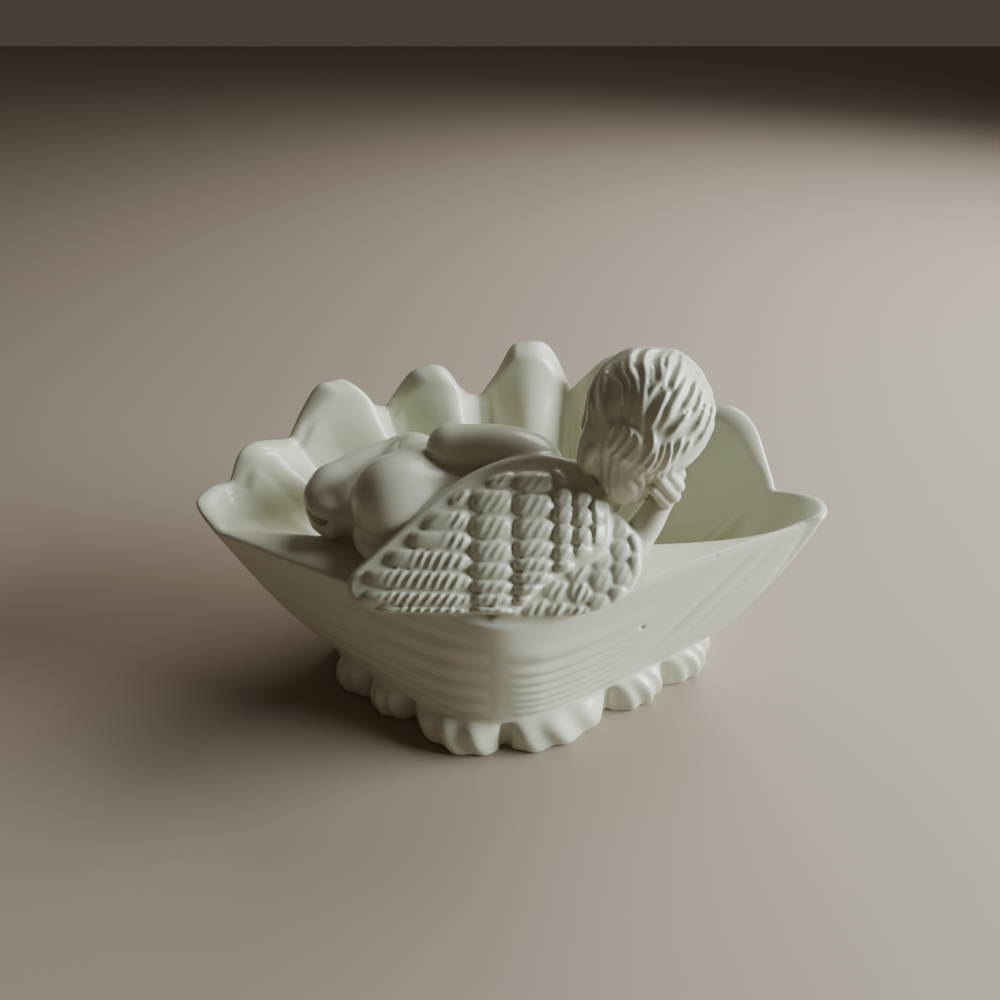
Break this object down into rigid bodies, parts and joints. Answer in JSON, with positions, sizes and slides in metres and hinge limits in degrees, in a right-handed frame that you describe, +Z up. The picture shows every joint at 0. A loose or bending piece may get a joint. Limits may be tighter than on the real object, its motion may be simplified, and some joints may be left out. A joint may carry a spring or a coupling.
{
  "type": "cherub shell dish",
  "caption": "Clam-shell dish on a ring of small scallops, with a winged cherub lying along its hinge ledge, propped on one elbow; one cream casting for soap or trinkets.",
  "frame": {"origin": "centre of the bounding box in plan, on the surface the dish stands on", "axes": "+Z up, +X along the long side with the cherub's head on the +X side, -Y towards the hinge side and the cherub's back"},
  "size_m": [0.1438, 0.0828, 0.0923],
  "materials": {
    "cream_casting": "satin"
  },
  "bodies": {
    "root": {"cherub_shell_dish": "cream_casting"}
  },
  "joints": []
}
